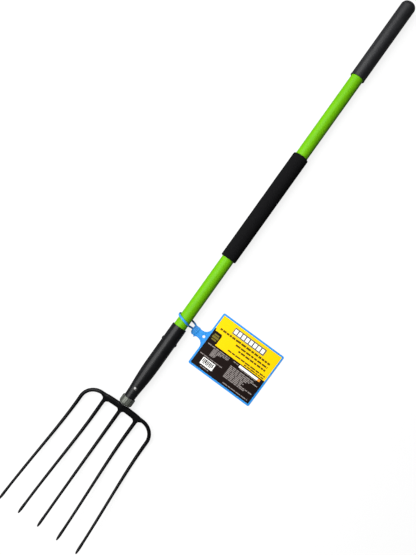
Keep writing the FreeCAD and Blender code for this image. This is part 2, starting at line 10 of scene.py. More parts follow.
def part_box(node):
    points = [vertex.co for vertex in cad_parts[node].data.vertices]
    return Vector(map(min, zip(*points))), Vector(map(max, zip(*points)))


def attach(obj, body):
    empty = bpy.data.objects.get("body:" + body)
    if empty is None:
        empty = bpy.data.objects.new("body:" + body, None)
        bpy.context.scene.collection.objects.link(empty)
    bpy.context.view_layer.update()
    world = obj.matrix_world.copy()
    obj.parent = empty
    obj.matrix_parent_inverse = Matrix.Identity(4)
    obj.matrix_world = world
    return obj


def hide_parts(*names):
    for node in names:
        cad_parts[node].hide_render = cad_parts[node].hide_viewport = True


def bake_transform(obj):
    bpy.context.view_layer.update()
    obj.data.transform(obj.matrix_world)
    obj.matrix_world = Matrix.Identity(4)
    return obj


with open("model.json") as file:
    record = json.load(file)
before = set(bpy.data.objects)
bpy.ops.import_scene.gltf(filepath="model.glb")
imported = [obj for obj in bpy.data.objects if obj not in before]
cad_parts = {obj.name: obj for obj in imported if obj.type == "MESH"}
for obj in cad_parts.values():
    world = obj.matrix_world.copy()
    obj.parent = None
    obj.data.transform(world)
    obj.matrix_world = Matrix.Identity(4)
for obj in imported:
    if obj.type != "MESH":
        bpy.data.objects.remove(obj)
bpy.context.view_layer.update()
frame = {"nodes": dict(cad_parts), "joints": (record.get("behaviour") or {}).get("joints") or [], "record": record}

MM = 0.001

# Places that every piece is built from, all read from the CAD nodes' boxes -----------------

tube_low, tube_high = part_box("handle_tube")
AXIS = Vector((0, (tube_low.y + tube_high.y) / 2, (tube_low.z + tube_high.z) / 2))
TUBE_RADIUS = (tube_high.y - tube_low.y) / 2
COLLAR_LOW, COLLAR_HIGH = (corner.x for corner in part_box("collar_ring"))
ALONG = Vector((1, 0, 0))
UP = Vector((0, 0, 1))
AWAY_FROM_TAG = Vector((0, 1, 0))


def on_axis(x):
    return AXIS + ALONG * x


def radius_of(node):
    low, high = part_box(node)
    return (high.z - low.z) / 2


# Mesh helpers ------------------------------------------------------------------------------

def placed(name, data):
    """A new object in the scene that holds a mesh, a light or a camera."""
    item = bpy.data.objects.new(name, data)
    bpy.context.scene.collection.objects.link(item)
    return item


def add_piece(name, mesh, slot, node, body=None):
    """Put a finished mesh in the scene for the CAD node that it stands for. Without a body, it is left unattached."""
    mesh.materials.clear()
    mesh.materials.append(MATERIALS[slot])
    for polygon in mesh.polygons:
        polygon.use_smooth = True
    piece = placed(name, mesh)
    if body:
        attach(piece, body)
    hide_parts(node)
    return piece


def mesh_from(name, work):
    """A mesh from an edit mesh, its faces turned outwards."""
    bmesh.ops.recalc_face_normals(work, faces=work.faces)
    mesh = bpy.data.meshes.new(name)
    work.to_mesh(mesh)
    work.free()
    return mesh


def add_solid(work, vertices, faces):
    """Add vertices and the faces over them to an edit mesh."""
    made = [work.verts.new(vertex) for vertex in vertices]
    for face in faces:
        work.faces.new([made[index] for index in face])


def mesh_of(name, vertices, faces):
    work = bmesh.new()
    add_solid(work, vertices, faces)
    return mesh_from(name, work)


def with_modifiers(mesh, add_modifiers):
    """The mesh after a stack of modifiers that a function adds to a passing object."""
    holder = placed("holder", mesh)
    add_modifiers(holder)
    graph = bpy.context.evaluated_depsgraph_get()
    result = bpy.data.meshes.new_from_object(holder.evaluated_get(graph), depsgraph=graph)
    bpy.data.objects.remove(holder)
    return result


def sharpen(mesh, degrees):
    """Mark the edges that turn by more than an angle as sharp."""
    work = bmesh.new()
    work.from_mesh(mesh)
    for edge in work.edges:
        edge.smooth = not edge.is_manifold or edge.calc_face_angle() < math.radians(degrees)
    work.to_mesh(mesh)
    work.free()


def rounded_outline(corners, steps=6):
    """A closed outline from (distance, radius, rounding) corners, each rounding made an arc."""
    points = []
    count = len(corners)
    for index, (along, out, rounding) in enumerate(corners):
        here = Vector((along, out))
        if not rounding:
            points.append(here)
            continue
        before = (Vector(corners[index - 1][:2]) - here).normalized()
        after = (Vector(corners[(index + 1) % count][:2]) - here).normalized()
        half_angle = before.angle(after) / 2
        reach = rounding / math.tan(half_angle)
        centre = here + (before + after).normalized() * rounding / math.sin(half_angle)
        start = here + before * reach - centre
        stop = here + after * reach - centre
        turn = start.angle_signed(stop)
        for step in range(steps + 1):
            angle = -turn * step / steps
            points.append(centre + Matrix.Rotation(angle, 2) @ start)
    return points


def refined(points, longest):
    """The outline with extra points, so that no stretch is longer than asked."""
    result = []
    for index, point in enumerate(points):
        following = points[(index + 1) % len(points)]
        pieces = max(1, math.ceil((following - point).length / longest))
        result += [point.lerp(following, step / pieces) for step in range(pieces)]
    return result


def turned(name, outline, origin, axis, segments=96, relief=None):
    """A solid of revolution about an axis. relief(distance, angle, radius) shifts a point out."""
    side = axis.orthogonal().normalized()
    other = axis.cross(side)
    vertices, rings = [], []
    for point in outline:
        if point.y < 1e-7:
            rings.append([len(vertices)] * segments)
            vertices.append(origin + axis * point.x)
            continue
        rings.append(range(len(vertices), len(vertices) + segments))
        for step in range(segments):
            angle = 2 * math.pi * step / segments
            radius = point.y + (relief(point.x, angle, point.y) if relief else 0)
            spoke = side * math.cos(angle) + other * math.sin(angle)
            vertices.append(origin + axis * point.x + spoke * radius)
    faces = []
    for index, ring in enumerate(rings):
        following = rings[(index + 1) % len(rings)]
        for step in range(segments):
            after = (step + 1) % segments
            face = [ring[step], ring[after], following[after], following[step]]
            face = list(dict.fromkeys(face))
            if len(face) > 2:
                faces.append(face)
    return mesh_of(name, vertices, faces)


def way(path, index):
    """The direction of a path at one of its points."""
    return (path[min(index + 1, len(path) - 1)] - path[max(index - 1, 0)]).normalized()


def squared(angle, power):
    """A point at an angle on a unit circle, which a power under 1 squares off."""
    return [math.copysign(abs(part) ** power, part) for part in (math.cos(angle), math.sin(angle))]


def swept_faces(rings, segments):
    """The faces over rings of vertices that follow each other, with both ends closed."""
    faces = []
    for first in range(0, (rings - 1) * segments, segments):
        for step in range(segments):
            after = (step + 1) % segments
            faces.append([first + step, first + after, first + segments + after, first + segments + step])
    last = (rings - 1) * segments
    faces.append(list(range(segments)))
    faces.append(list(range(last, last + segments))[::-1])
    return faces


# Material helpers --------------------------------------------------------------------------

def fill(node, values):
    """Give a node's inputs their plain values."""
    for key, value in values.items():
        node.inputs[key].default_value = value


class Shader:
    """A node material with its Principled shader and short ways to feed it."""

    def __init__(self, name, plain):
        """plain gives the inputs that no texture feeds."""
        self.material = bpy.data.materials.new(name)
        self.material.use_nodes = True
        self.tree = self.material.node_tree
        surface = self.tree.nodes["Principled BSDF"]
        fill(surface, plain)
        self.inputs = surface.inputs
        self.place = self.add("ShaderNodeTexCoord").outputs["Object"]
        self.normal = None

    def add(self, kind, **settings):
        node = self.tree.nodes.new(kind)
        for key, value in settings.items():
            setattr(node, key, value)
        return node

    def link(self, source, target):
        self.tree.links.new(source, target)

    def stretched(self, scale):
        """Object coordinates times a scale, which is one number or one for each axis."""
        mapping = self.add("ShaderNodeMapping")
        fill(mapping, {"Scale": scale if isinstance(scale, tuple) else (scale, scale, scale)})
        self.link(self.place, mapping.inputs["Vector"])
        return mapping.outputs["Vector"]

    def noise(self, scale, detail=4.0, rough=0.55, distortion=0.0):
        """Noise of a size given by its cells per metre, one number or one for each axis."""
        node = self.add("ShaderNodeTexNoise")
        self.link(self.stretched(scale), node.inputs["Vector"])
        fill(node, {"Scale": 1, "Detail": detail, "Roughness": rough, "Distortion": distortion})
        return node.outputs["Fac"]

    def cells(self, scale):
        """Distances to the middles of cells, of which there are so many per metre."""
        node = self.add("ShaderNodeTexVoronoi")
        self.link(self.stretched(scale), node.inputs["Vector"])
        fill(node, {"Scale": 1})
        return node.outputs["Distance"]

    def mixed(self, first, second, share):
        """One value with a share of it given to another."""
        node = self.add("ShaderNodeMix", data_type="FLOAT")
        fill(node, {"Factor": share})
        self.link(first, node.inputs["A"])
        self.link(second, node.inputs["B"])
        return node.outputs["Result"]

    def spread(self, value, low, high, start=0.3, stop=0.7):
        """Map a value that runs from start to stop on to low to high."""
        node = self.add("ShaderNodeMapRange")
        self.link(value, node.inputs["Value"])
        fill(node, {"From Min": start, "From Max": stop, "To Min": low, "To Max": high})
        return node.outputs["Result"]

    def roughness(self, value, low, high):
        self.link(self.spread(value, low, high), self.inputs["Roughness"])

    def colours(self, value, *stops):
        """Feed the base colour from a ramp of (place, colour) stops."""
        node = self.add("ShaderNodeValToRGB")
        elements = node.color_ramp.elements
        while len(elements) < len(stops):
            elements.new(0.5)
        for element, (at, colour) in zip(elements, stops):
            element.position = at
            element.color = (*colour, 1)
        self.link(value, node.inputs["Fac"])
        self.link(node.outputs["Color"], self.inputs["Base Color"])

    def bump(self, value, height):
        """Raise the surface by value times a height in metres, on top of earlier bumps."""
        node = self.add("ShaderNodeBump")
        fill(node, {"Distance": height, "Strength": 1})
        self.link(value, node.inputs["Height"])
        if self.normal:
            self.link(self.normal, node.inputs["Normal"])
        self.normal = node.outputs["Normal"]
        self.link(self.normal, self.inputs["Normal"])


def black_lacquer():
    """Thick gloss paint over forged steel."""
    shader = Shader("black_lacquer", {"Specular IOR Level": 0.1})
    shader.colours(shader.noise(60), (0.35, (0.002, 0.002, 0.0024)), (0.7, (0.005, 0.005, 0.0055)))
    shader.roughness(shader.noise(90), 0.24, 0.34)
    shader.bump(shader.noise(120, detail=2), 0.00003)
    shader.bump(shader.noise(1400, detail=3), 0.000008)
    return shader.material


def black_nylon():
    """Satin moulded plastic with a fine spark-eroded grain."""
    shader = Shader("black_nylon", {"Specular IOR Level": 0.2})
    shader.colours(shader.noise(45, detail=5), (0.3, (0.004, 0.0042, 0.0045)), (0.75, (0.0075, 0.008, 0.009)))
    shader.roughness(shader.noise(260, detail=5), 0.28, 0.38)
    shader.bump(shader.noise(2600, detail=2), 0.00003)
    return shader.material


def plated_steel():
    """Zinc-plated drawn cup: marks run along the handle, and its colour along them is partly the plating's own
    tone and partly painted reflection bands.
    """
    shader = Shader("plated_steel", {"Metallic": 0.5, "Sheen Weight": 0.6, "Sheen Roughness": 0.3})
    streaks_and_painted_reflections = shader.noise((18, 380, 380), detail=5, rough=0.65)
    # Dark and pale bands along these marks in the colour: partly the plating's own tone, partly painted reflection
    # of the surroundings.
    shader.colours(streaks_and_painted_reflections, (0.34, (0.025, 0.029, 0.022)), (0.5, (0.085, 0.092, 0.078)),
                   (0.66, (0.18, 0.195, 0.165)))
    shader.roughness(shader.noise((60, 500, 500)), 0.46, 0.62)
    shader.bump(streaks_and_painted_reflections, 0.00012)
    return shader.material


def bright_steel():
    """Polished rivet head with a little tarnish."""
    shader = Shader("bright_steel", {"Metallic": 1})
    tarnish = shader.noise(420, detail=5)
    shader.colours(tarnish, (0.3, (0.2, 0.196, 0.192)), (0.65, (0.34, 0.34, 0.336)))
    shader.roughness(tarnish, 0.4, 0.54)
    shader.bump(shader.noise(1500, detail=3), 0.00002)
    return shader.material


def black_steel():
    """Satin black rivet."""
    shader = Shader("black_steel", {"Base Color": (0.010, 0.010, 0.011, 1)})
    shader.roughness(shader.noise(500), 0.26, 0.44)
    shader.bump(shader.noise(900, detail=3), 0.00004)
    return shader.material


def green_fibreglass():
    """Lime pultruded tube: glassy skin over fibres that run along the handle."""
    shader = Shader("green_fibreglass", {"Specular IOR Level": 0.12})
    fibres = shader.noise((9, 700, 700), detail=5, rough=0.6)
    clouds = shader.noise((12, 40, 40), detail=3)
    shader.colours(shader.mixed(fibres, clouds, 0.4), (0.32, (0.10, 0.33, 0.001)),
                   (0.5, (0.12, 0.385, 0.002)), (0.68, (0.145, 0.43, 0.004)))
    shader.roughness(fibres, 0.36, 0.5)
    shader.bump(fibres, 0.00001)
    return shader.material


def black_foam():
    """Closed-cell foam: matte, with a skin of fine open pits, each painted darker in its hollow as painted shade.
    """
    shader = Shader("black_foam", {"Specular IOR Level": 0.1})
    pores_and_painted_shade = shader.cells(1500)
    # The colour is darker at the middle of each pit, where the bump sinks it: painted shade in the pits' hollows.
    shader.colours(pores_and_painted_shade, (0.1, (0.001, 0.001, 0.0012)), (0.55, (0.004, 0.004, 0.0045)))
    shader.roughness(shader.noise(300), 0.82, 0.98)
    shader.bump(pores_and_painted_shade, 0.00025)
    shader.bump(shader.noise(500), 0.00012)
    return shader.material


def soft_black():
    """Soft-touch rubber: charcoal, fine stipple and faint handling marks."""
    shader = Shader("soft_black", {"Specular IOR Level": 0.35})
    marks = shader.noise((40, 90, 90), detail=6, rough=0.65)
    shader.colours(marks, (0.3, (0.008, 0.0083, 0.0095)), (0.55, (0.012, 0.0125, 0.014)),
                   (0.8, (0.018, 0.0185, 0.021)))
    shader.roughness(marks, 0.4, 0.54)
    shader.bump(shader.noise(2200, detail=2), 0.00007)
    shader.bump(shader.noise(350, detail=3), 0.00008)
    return shader.material


def blue_plastic():
    """Bright moulded polypropylene, slightly see-through at the edges."""
    shader = Shader("blue_plastic", {
        "Specular IOR Level": 0.25,
        "Subsurface Weight": 0.12,
        "Subsurface Radius": (0.001, 0.002, 0.004),
    })
    flow = shader.noise((60, 35, 60), detail=3, distortion=0.6)
    shader.colours(flow, (0.3, (0.018, 0.235, 0.66)), (0.5, (0.028, 0.275, 0.72)), (0.75, (0.05, 0.32, 0.78)))
    shader.roughness(shader.noise(240), 0.34, 0.5)
    shader.bump(shader.noise(900, detail=2), 0.00004)
    return shader.material


def printed_sheet():
    """Coated card. The inks come from the mesh's own colours, over a trace of paper grain."""
    shader = Shader("printed_sheet", {"Specular IOR Level": 0.1})
    inks = shader.add("ShaderNodeAttribute", attribute_name="ink")
    grain = shader.add("ShaderNodeMix", data_type="RGBA", blend_type="MULTIPLY")
    shader.link(shader.spread(shader.noise(700, detail=3), 0.0, 0.12), grain.inputs["Factor"])
    shader.link(inks.outputs["Color"], grain.inputs["A"])
    fill(grain, {"B": (0.75, 0.72, 0.68, 1)})
    shader.link(grain.outputs["Result"], shader.inputs["Base Color"])
    shader.roughness(shader.noise(180), 0.4, 0.55)
    shader.bump(shader.noise(30, detail=2), 0.0002)
    return shader.material


def core_wood():
    """Plain turned hardwood."""
    shader = Shader("core_wood", {"Roughness": 0.7})
    rings = shader.noise((12, 420, 420), detail=5, distortion=0.8)
    shader.colours(rings, (0.3, (0.32, 0.19, 0.09)), (0.7, (0.62, 0.43, 0.25)))
    shader.bump(rings, 0.0001)
    return shader.material


def black_cap():
    """Plain moulded cap."""
    shader = Shader("black_cap", {"Base Color": (0.02, 0.02, 0.02, 1)})
    shader.roughness(shader.noise(400), 0.42, 0.6)
    shader.bump(shader.noise(1200, detail=2), 0.00004)
    return shader.material


MATERIALS = {
    maker.__name__: maker()
    for maker in (black_lacquer, black_nylon, plated_steel, bright_steel, black_steel,
                  green_fibreglass, black_foam, soft_black, blue_plastic, printed_sheet,
                  core_wood, black_cap)
}

# Every CAD node gets its slot's material; the pieces below then stand for most of them.
for subpart in frame["record"]["subparts"]:
    node_object = frame["nodes"][subpart["node"]]
    node_object.data.materials.clear()
    node_object.data.materials.append(MATERIALS[subpart["material_slot"]])


def add_turned(name, slot, outline, origin, axis, **options):
    """A turned piece on the fork that stands for the CAD node of the same name."""
    mesh = turned(name, outline, origin, axis, **options)
    sharpen(mesh, 40)
    return add_piece(name + "_turned", mesh, slot, name, "fork")


# Handle ------------------------------------------------------------------------------------

GLUE_GAP = 0.05 * MM
BORE = TUBE_RADIUS + GLUE_GAP


def make_handle_tube():
    wall = 3 * MM
    length = tube_high.x - tube_low.x
    edge = 0.4 * MM
    outline = rounded_outline([
        (0, TUBE_RADIUS - wall, 0),
        (0, TUBE_RADIUS, edge),
        (length, TUBE_RADIUS, edge),
        (length, TUBE_RADIUS - wall, 0),
    ])
    add_turned("handle_tube", "green_fibreglass", refined(outline, 25 * MM), on_axis(tube_low.x), ALONG)


def make_foam_grip():
    low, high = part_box("foam_grip")
    length, radius = high.x - low.x, radius_of("foam_grip")
    edge, mouth = 2.5 * MM, 0.6 * MM
    waviness, waves = 0.12 * MM, 45

    def skin(distance, angle, here):
        """Soft waves that only ever go in from the outside."""
        if here <= BORE:
            return 0
        around = Vector((distance, math.cos(angle) * here, math.sin(angle) * here))
        return waviness * noise.noise(around * waves) - waviness

    outline = rounded_outline([
        (0, BORE, mouth),
        (0, radius, edge),
        (length, radius, edge),
        (length, BORE, mouth),
    ])
    foam = add_turned("foam_grip", "black_foam", refined(outline, 4 * MM), on_axis(low.x), ALONG, relief=skin)


def make_end_grip():
    """A long sleeve with a domed end, a thin turned lip at its mouth and a ring on the dome."""
    low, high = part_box("end_grip")
    length = high.x - low.x
    lip_radius = radius_of("end_grip")
    radius = lip_radius - 0.4 * MM
    lip_length, dome, wall = 3 * MM, 13 * MM, 12 * MM
    ring_at, ring_width, ring_depth = length - 7 * MM, 0.55 * MM, 0.4 * MM

    def ring(distance, angle, here):
        if here < BORE - MM:
            return 0
        return -ring_depth * math.exp(-((distance - ring_at) / ring_width) ** 2)

    outline = rounded_outline([
        (0, BORE, 0.3 * MM),
        (0, lip_radius, 0.6 * MM),
        (lip_length, lip_radius, 0.3 * MM),
        (lip_length + 0.4 * MM, radius, 0.3 * MM),
        (length, radius, dome),
        (length, 0, 0),
        (length - wall, 0, 0),
        (length - wall, BORE, 0),
    ], steps=24)
    add_turned("end_grip", "soft_black", refined(outline, 3 * MM), on_axis(low.x), ALONG, relief=ring)


# Socket, collar and rivets -----------------------------------------------------------------

def arc(start, stop, radius, steps=24):
    """Points from start up to, but without, stop. A positive radius bulges to the left."""
    chord = stop - start
    rise = math.copysign(math.sqrt(radius ** 2 - (chord.length / 2) ** 2), radius)
    centre = (start + stop) / 2 - Vector((-chord.y, chord.x)).normalized() * rise
    turn = (start - centre).angle_signed(stop - centre)
    return [centre + Matrix.Rotation(-turn * step / steps, 2) @ (start - centre) for step in range(steps)]


def drill(position, direction, radius, length):
    """A passing round cutter that starts at a position and runs along a direction."""
    outline = [Vector((0, 0)), Vector((0, radius)), Vector((length, radius)), Vector((length, 0))]
    return placed("cutter", turned("cutter", outline, position, direction, segments=48))


def less(mesh, cutters):
    """The mesh with every cutter taken out of it."""
    def add(holder):
        for cutter in cutters:
            modifier = holder.modifiers.new("cut", "BOOLEAN")
            modifier.object = cutter
            modifier.operation = "DIFFERENCE"
            modifier.solver = "EXACT"

    result = with_modifiers(mesh, add)
    for cutter in cutters:
        bpy.data.objects.remove(cutter)
    return result


TANG_RADIUS = 6.2 * MM


def make_socket():
    """A tapered sleeve: thin at the collar, filling out through a long shoulder."""
    low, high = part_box("socket")
    radius = radius_of("socket")
    low_radius, waist_radius, waist = 13.8 * MM, 15.9 * MM, 35 * MM
    waist_curve, shoulder_curve = 547 * MM, 734 * MM
    straight, bore_depth = 107.5 * MM, 106 * MM
    spigot_radius = 11.9 * MM
    bottom = COLLAR_HIGH - low.x
    length = high.x - low.x
    start, middle = Vector((bottom, low_radius)), Vector((bottom + waist, waist_radius))
    shoulder = Vector((length - straight, radius))
    outline = rounded_outline([(0, TANG_RADIUS, 0), (0, spigot_radius, 0.5 * MM), (bottom, spigot_radius, 0)])
    outline += arc(start, middle, -waist_curve) + arc(middle, shoulder, shoulder_curve)
    outline += rounded_outline([
        (length - straight, radius, 0),
        (length, radius, 0.8 * MM),
        (length, BORE, 0.3 * MM),
        (length - bore_depth, BORE, 0),
        (length - bore_depth, TANG_RADIUS, 0),
    ])

    def mould_line(distance, angle, here):
        """The fine ridge where the mould's halves met, down both sides."""
        ridge, half_angle = 0.07 * MM, 0.02
        off = abs((angle + math.pi / 2) % math.pi - math.pi / 2)
        return ridge if off < half_angle and here > low_radius - MM else 0

    mesh = turned("socket", refined(outline, 4 * MM), on_axis(low.x), ALONG, 128, mould_line)
    rivet_low, rivet_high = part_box("tang_rivet")
    rivet_at = (rivet_low + rivet_high) / 2
    rivet_at.z = AXIS.z
    cross_low, cross_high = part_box("socket_rivet")
    cross_at = (cross_low + cross_high) / 2
    head_seat, cross_seat = 14.4 * MM, 18 * MM
    seat_gap = 0.15 * MM
    head = (rivet_high.x - rivet_low.x) / 2 + seat_gap
    cross_head = (cross_high.x - cross_low.x) / 2 + seat_gap
    mesh = less(mesh, [
        drill(rivet_at + UP * head_seat, UP, head, radius),
        drill(rivet_at - UP * head_seat, -UP, head, radius),
        drill(cross_at + AWAY_FROM_TAG * cross_seat, AWAY_FROM_TAG, cross_head, radius),
        drill(cross_at - AWAY_FROM_TAG * cross_seat, -AWAY_FROM_TAG, cross_head, radius),
    ])
    sharpen(mesh, 35)
    add_piece("socket_moulded", mesh, "black_nylon", "socket", "fork")


def make_collar_ring():
    """A drawn cup with shallow draw marks down its side."""
    low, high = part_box("collar_ring")
    radius, length = radius_of("collar_ring"), high.x - low.x
    inside, floor, rounding = 11.95 * MM, 2.2 * MM, 7 * MM
    hole, mark_depth, marks = TANG_RADIUS + 0.1 * MM, 0.16 * MM, 7

    def draw_marks(distance, angle, here):
        if here < inside + MM:
            return 0
        around = Vector((math.cos(angle), math.sin(angle), 0.2))
        return -mark_depth * (0.5 + noise.noise(around * marks))

    outline = rounded_outline([
        (0, hole, 0),
        (0, radius, rounding),
        (length, radius, 0.5 * MM),
        (length, inside, 0.4 * MM),
        (floor, inside, 0),
        (floor, hole, 0),
    ], steps=10)
    add_turned("collar_ring", "plated_steel", refined(outline, 2 * MM), on_axis(low.x), ALONG,
               segments=160, relief=draw_marks)


def dome(base, radius, height, steps=14):
    """Outline points over a low round head, from its rim to its top."""
    ball = (radius ** 2 + height ** 2) / (2 * height)
    points = []
    for step in range(steps + 1):
        out = radius * (1 - step / steps)
        points.append(Vector((base + math.sqrt(ball ** 2 - out ** 2) - (ball - height), out)))
    return points


def make_tang_rivet():
    """Domed head on top of the socket, shank through it and a hammered end over the washer."""
    low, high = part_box("tang_rivet")
    washer_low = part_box("rivet_washer")[0].z - low.z
    head_radius, head_height = (high.x - low.x) / 2, 2.8 * MM
    shank, peened = 2.5 * MM, 3.8 * MM
    length = high.z - low.z
    rim = 0.4 * MM
    under = reversed(dome(0, peened, washer_low))
    outline = [Vector((washer_low - point.x, point.y)) for point in under]
    outline += [Vector((washer_low, shank)), Vector((length - head_height, shank))]
    outline += [Vector((length - head_height, head_radius))]
    outline += dome(length - head_height + rim, head_radius, head_height - rim)

    def hammered(distance, angle, here):
        place = Vector((math.cos(angle) * here, math.sin(angle) * here, distance))
        return 0.02 * MM * noise.noise(place * 700)

    centre = (low + high) / 2
    start = Vector((centre.x, centre.y, low.z))
    add_turned("tang_rivet", "bright_steel", outline, start, UP, relief=hammered)


def make_socket_rivet():
    """A low round head at each side of the socket on one shank."""
    low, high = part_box("socket_rivet")
    length, head_radius = high.y - low.y, (high.x - low.x) / 2
    head_height, shank, rim = 2.9 * MM, 3 * MM, 0.7 * MM
    far = dome(length - head_height + rim, head_radius, head_height - rim)
    near = [Vector((length - point.x, point.y)) for point in reversed(far)]
    outline = near + [
        Vector((head_height, head_radius)),
        Vector((head_height, shank)),
        Vector((length - head_height, shank)),
        Vector((length - head_height, head_radius)),
    ] + far
    centre = (low + high) / 2
    start = Vector((centre.x, low.y, centre.z))
    add_turned("socket_rivet", "black_steel", outline, start, AWAY_FROM_TAG)


# Head --------------------------------------------------------------------------------------

head_low, head_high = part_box("fork_head")
BAR_HALF_HEIGHT = 7.8 * MM
HUB_SHOWS = 1.2 * MM
BAR_X = COLLAR_LOW - HUB_SHOWS - BAR_HALF_HEIGHT
# The tines lie on the ground this far down from the crossbar, and curve with this radius.
BELLY, CURVE = 100 * MM, 390 * MM
ROOT_RADIUS, END_RADIUS, POINT_RADIUS = 4.9 * MM, 3.2 * MM, 0.8 * MM
SWELL, POINT = 0.25 * MM, 14 * MM
CORNER = 38.6 * MM
OUTER_ROOT = 97.7 * MM
OUTER_TIP = (head_high.y - head_low.y) / 2 - END_RADIUS - SWELL
INNER_ROOT, INNER_TIP = 46.2 * MM, 54.6 * MM
RUN = BAR_X - head_low.x - POINT_RADIUS * (BAR_X - head_low.x - BELLY) / CURVE


def eased(share):
    share = min(max(share, 0), 1)
    return share * share * (3 - 2 * share)


def tine_radius(down):
    """A tine's radius at a distance down from the crossbar, with its drawn point."""
    points_left = (RUN - down) / POINT
    if points_left < 1:
        widest = END_RADIUS + SWELL
        return POINT_RADIUS + (widest - POINT_RADIUS) * math.sqrt(max(0, 1 - (1 - points_left) ** 2))
    taper = END_RADIUS + (ROOT_RADIUS - END_RADIUS) * (1 - max(down, 0) / RUN) ** 1.6
    return taper + SWELL * eased(2 - points_left)


BELLY_HEIGHT = tine_radius(BELLY) + 0.1 * MM


def bent(down, across, rise):
    """A point of the head's flat plan, bent on to the curve that the tines follow."""
    lean = math.asin((down - BELLY) / CURVE)
    height = BELLY_HEIGHT + CURVE - (CURVE - rise) * math.cos(lean)
    return Vector((BAR_X - down + rise * math.sin(lean), AXIS.y + across, height))


def bar(path, shapes):
    """A closed bar along a path of the flat plan, as vertices and faces. A shape is (half width to
    the left of the way, half width to the right, half thickness, squareness of the section)."""
    segments = 32
    vertices = []
    for index, (point, shape) in enumerate(zip(path, shapes)):
        along = way(path, index)
        left = Vector((-along.y, along.x))
        left_width, right_width, thickness, squareness = shape
        for step in range(segments):
            sideways, rise = squared(2 * math.pi * step / segments, 2 / squareness)
            flat = point + left * sideways * (left_width if sideways > 0 else right_width)
            vertices.append(bent(flat.x, flat.y, rise * thickness))
    return vertices, swept_faces(len(path), segments)


def tine_stations(start):
    """Distances down a tine, closer together over its point."""
    even_steps, point_steps = 40, 20
    reach = 2 * POINT
    even = [start + (RUN - reach - start) * step / even_steps for step in range(even_steps + 1)]
    point = [RUN - reach * (1 - step / point_steps) ** 1.5 for step in range(1, point_steps + 1)]
    return even + point


def inner_tine(side):
    """One of the three straight tines. Its root spreads to both sides into the crossbar."""
    fillet, splay_start = 7.5 * MM, 0.15
    bar_low = BAR_HALF_HEIGHT + (1.9 * MM if side else 0)
    arm_low = 5.2 * MM if side else bar_low
    root_steps, root_end = 18, 20 * MM
    path, shapes = [], []
    for down in [step * MM for step in range(root_steps)] + tine_stations(root_end):
        splay = eased((down / RUN - splay_start) / (1 - splay_start))
        path.append(Vector((down, side * (INNER_ROOT + (INNER_TIP - INNER_ROOT) * splay))))
        radius = tine_radius(down)
        widths = []
        for edge in (arm_low, bar_low):
            left = min(max(down - edge, 0), fillet)
            widths.append(radius + fillet - math.sqrt(fillet ** 2 - (fillet - left) ** 2))
        outside, inside = widths
        right, left = (inside, outside) if side >= 0 else (outside, inside)
        shapes.append((left, right, radius, 2))
    return bar(path, shapes)


def bar_and_outer_tines():
    """One bar from tip to tip: an outer tine, its corner, the deep crossbar and back down."""
    half_length, bow = 53 * MM, 2.6 * MM
    arm_radius, half_thickness, extra_squareness = 4.45 * MM, 5 * MM, 0.9
    narrowing, narrowing_length = 44 * MM, 13 * MM
    bar_stations, corner_steps, tine_start = 39, 24, 5 * MM
    half = []
    for station in range(bar_stations):
        across = station * 1.5 * MM
        top = BAR_HALF_HEIGHT - bow * (across / half_length) ** 2
        deep = 1 - eased((across - narrowing) / narrowing_length)
        height = arm_radius + (BAR_HALF_HEIGHT - arm_radius) * deep
        thickness = arm_radius + (half_thickness - arm_radius) * deep
        shape = (height, height, thickness, 2 + extra_squareness * deep)
        half.append((Vector((height - top, across)), shape))
    corner_down = half[-1][0].x + CORNER
    corner_across = OUTER_ROOT - CORNER
    for step in range(1, corner_steps + 1):
        turn = math.pi / 2 * step / corner_steps
        point = Vector((corner_down - CORNER * math.cos(turn), corner_across + CORNER * math.sin(turn)))
        radius = arm_radius + (tine_radius(point.x) - arm_radius) * step / corner_steps
        half.append((point, (radius, radius, radius, 2)))
    for down in tine_stations(corner_down + tine_start):
        share = (down - corner_down) / (RUN - corner_down)
        across = OUTER_ROOT + (OUTER_TIP - OUTER_ROOT) * eased(share)
        radius = tine_radius(down)
        half.append((Vector((down, across)), (radius, radius, radius, 2)))
    other = [(Vector((point.x, -point.y)), shape) for point, shape in reversed(half[1:])]
    both = other + half
    return bar([point for point, _ in both], [shape for _, shape in both])


def hub_and_tang():
    """The round seat under the collar, which sinks into the crossbar, and the tang above it."""
    hub_radius, hub_height, edge = 14.5 * MM, 8 * MM, 0.8 * MM
    foot_radius, foot_edge = hub_radius * 0.3, MM
    flank, flank_radius, flank_edge = 2.2 * MM, hub_radius * 0.93, 2 * MM
    tang_end, tang_length = 4.3 * MM, 170 * MM
    outline = rounded_outline([
        (-hub_height, 0, 0),
        (-hub_height, foot_radius, foot_edge),
        (-flank, flank_radius, flank_edge),
        (0, hub_radius, edge),
        (0, TANG_RADIUS, 0),
        (tang_length, tang_end, 0),
        (tang_length, 0, 0),
    ])
    mesh = turned("hub", outline, on_axis(COLLAR_LOW), ALONG, segments=48)
    vertices = [vertex.co.copy() for vertex in mesh.vertices]
    return vertices, [list(polygon.vertices) for polygon in mesh.polygons]


